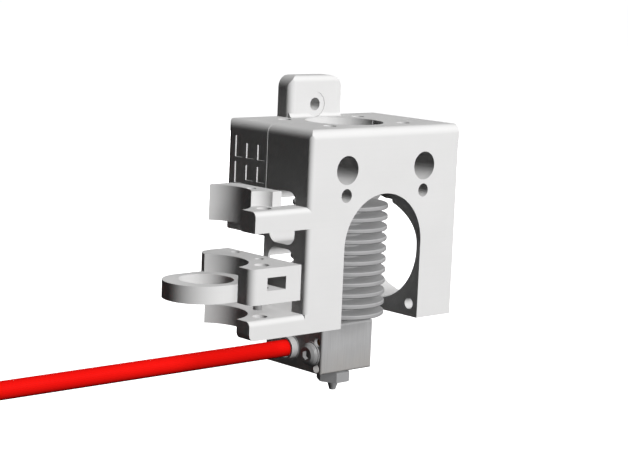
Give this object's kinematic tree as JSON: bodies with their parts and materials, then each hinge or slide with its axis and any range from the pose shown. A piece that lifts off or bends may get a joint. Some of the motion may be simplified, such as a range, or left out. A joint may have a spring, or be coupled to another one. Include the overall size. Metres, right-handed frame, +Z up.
{
  "type": "hotend assembly",
  "caption": "3D printer hotend in a split printed holder, with finned heatsink, heater block, nozzle and a height-adjustable probe ring beside it.",
  "frame": {"origin": "the filament's axis at the holder's top face, centre of the four top holes", "axes": "+Z up along the filament's axis, +X towards the fan side, +Y towards the back"},
  "size_m": [0.1303, 0.0303, 0.0732],
  "materials": {
    "printed": "satin printed plastic",
    "pin_steel": "satin",
    "dark_steel": "black oxide",
    "turned_aluminium": "fine turned",
    "block_aluminium": "machined",
    "nozzle_steel": "machined",
    "cartridge_steel": "smooth",
    "insert_brass": "satin",
    "black_plastic": "satin",
    "liner": "waxy",
    "bead": "glazed",
    "red_sleeve": "woven sleeve",
    "connector_plastic": "moulded"
  },
  "bodies": {
    "holder": {"front_body": "printed", "rear_clamp": "printed", "guide_pins": "pin_steel", "clamp_screws": "dark_steel", "clamp_washers": "pin_steel", "clamp_nuts": "pin_steel", "heatsink": "turned_aluminium", "collet_insert": "insert_brass", "ptfe_liner": "liner", "heat_break": "pin_steel", "heater_block": "block_aluminium", "nozzle": "nozzle_steel", "heater_cartridge": "cartridge_steel", "cartridge_screw": "dark_steel", "thermistor_bead": "bead", "thermistor_screw": "pin_steel", "thermistor_washer": "pin_steel", "heater_lead": "red_sleeve", "lead_connector": "connector_plastic", "connector_pins": "insert_brass"},
    "carrier": {"probe_carrier": "printed"},
    "collet": {"tube_collet": "black_plastic"}
  },
  "joints": [
    {"name": "carrier_slide", "type": "slide", "parent": "holder", "child": "carrier", "axis": [0, 0, 1], "range_m": [-0.0034, 0.004]},
    {"name": "collet_press", "type": "slide", "parent": "holder", "child": "collet", "axis": [0, 0, -1], "range_m": [0, 0.0006]}
  ]
}
